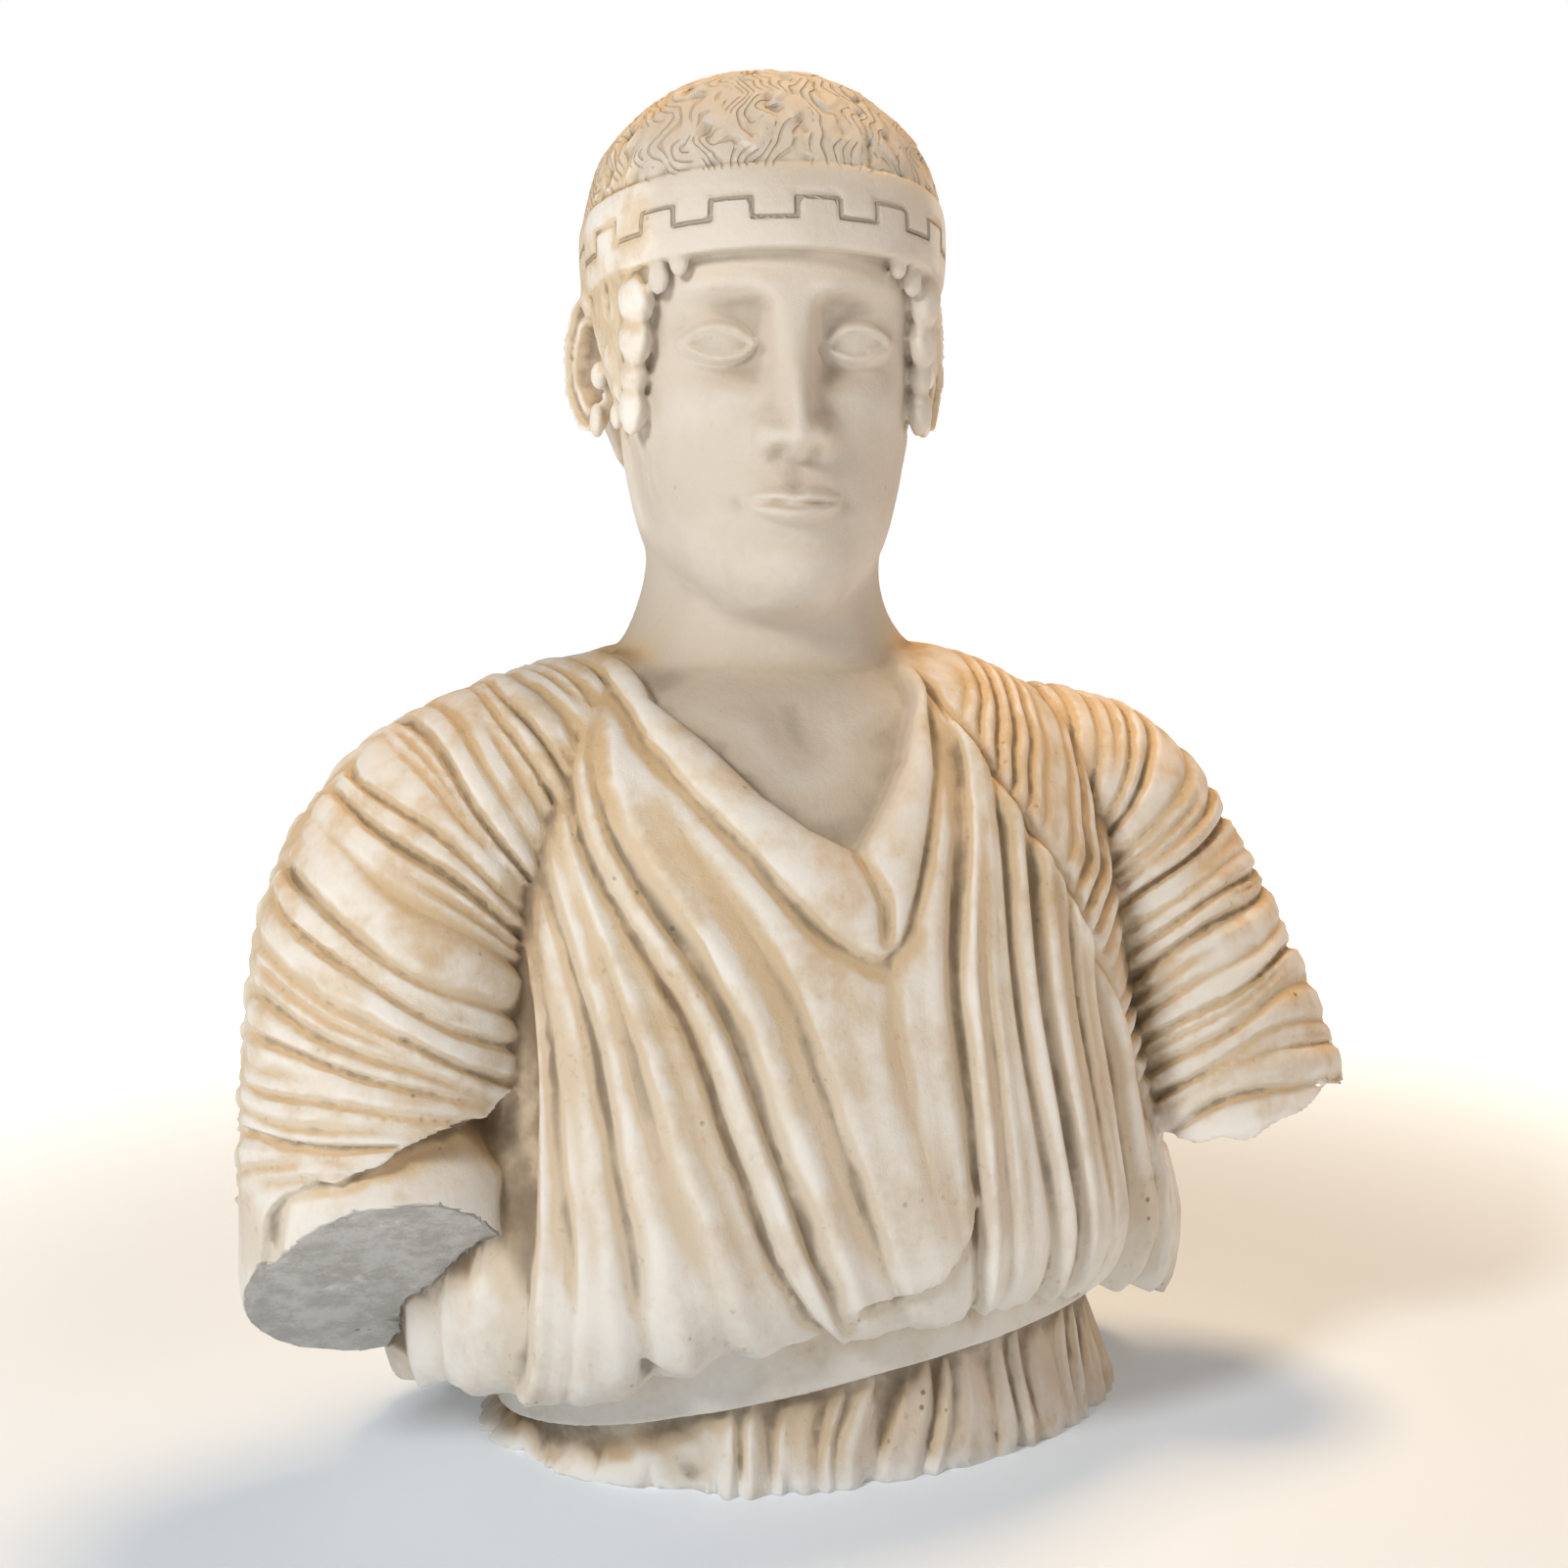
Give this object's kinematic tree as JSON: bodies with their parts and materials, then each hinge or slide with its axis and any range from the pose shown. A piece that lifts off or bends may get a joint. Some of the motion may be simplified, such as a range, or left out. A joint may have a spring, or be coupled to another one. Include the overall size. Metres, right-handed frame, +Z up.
{
  "type": "charioteer bust",
  "caption": "Plaster bust of a young charioteer with headband, curled hair and a belted, pleated dress, cut off below the belt and at both arms; stands on its flat underside as a display piece",
  "frame": {"origin": "middle of the flat underside, at the height of the shelf it stands on", "axes": "+Z up, the figure faces -Y, its right arm is on the -X side"},
  "size_m": [0.5204, 0.2733, 0.6161],
  "materials": {
    "plaster": "aged matt plaster with ochre in the hollows and rubbed pale ridges"
  },
  "bodies": {
    "root": {"bust": "plaster"}
  },
  "joints": []
}
